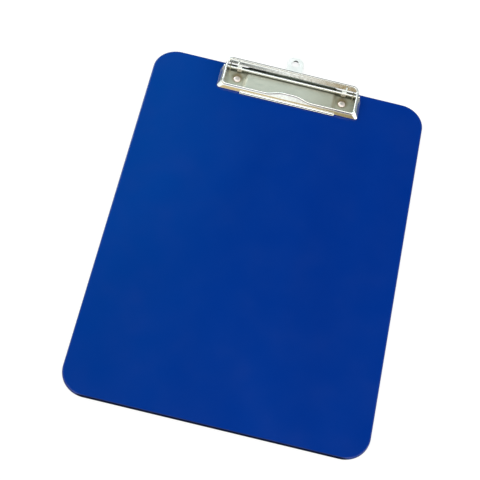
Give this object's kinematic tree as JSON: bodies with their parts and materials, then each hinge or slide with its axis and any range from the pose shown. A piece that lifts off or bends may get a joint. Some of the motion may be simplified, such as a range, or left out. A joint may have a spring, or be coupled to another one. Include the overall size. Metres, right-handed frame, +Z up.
{
  "type": "clipboard",
  "caption": "Plastic clipboard with round corners, a sprung low-profile steel clip with a thumb tab, and a pull-out hanging tab.",
  "frame": {"origin": "centre of the board's flat underside", "axes": "+Y along the board towards the clip, +Z up out of the face that the paper lies on, +X to the right"},
  "size_m": [0.228, 0.3415, 0.0119],
  "materials": {
    "board_plastic": "glossy deep blue",
    "plate_steel": "satin nickel",
    "jaw_nickel": "bright nickel plate",
    "bright_wire": "polished",
    "spring_wire": "bright nickel plate",
    "rivet_nickel": "bright nickel plate",
    "hanger_nickel": "bright nickel plate"
  },
  "bodies": {
    "root": {"board": "board_plastic", "base_plate": "plate_steel", "hinge_pin": "bright_wire", "spring_left": "spring_wire", "spring_right": "spring_wire", "rivet_left": "rivet_nickel", "rivet_right": "rivet_nickel", "rivet_washer_left": "rivet_nickel", "rivet_washer_right": "rivet_nickel"},
    "jaw": {"jaw": "jaw_nickel"},
    "hanger": {"hanger_hook": "hanger_nickel"}
  },
  "joints": [
    {"name": "jaw_hinge", "type": "hinge", "parent": "root", "child": "jaw", "pos_m": [0, 0.1534, 0.0075], "axis": [-1, 0, 0], "range_deg": [0, 35], "stiffness_Nm_per_rad": 0.03, "springref_deg": -40.11, "deforming": ["spring_left", "spring_right"]},
    {"name": "hanger_slide", "type": "slide", "parent": "root", "child": "hanger", "axis": [0, 1, 0], "range_m": [-0.0145, 0]}
  ]
}
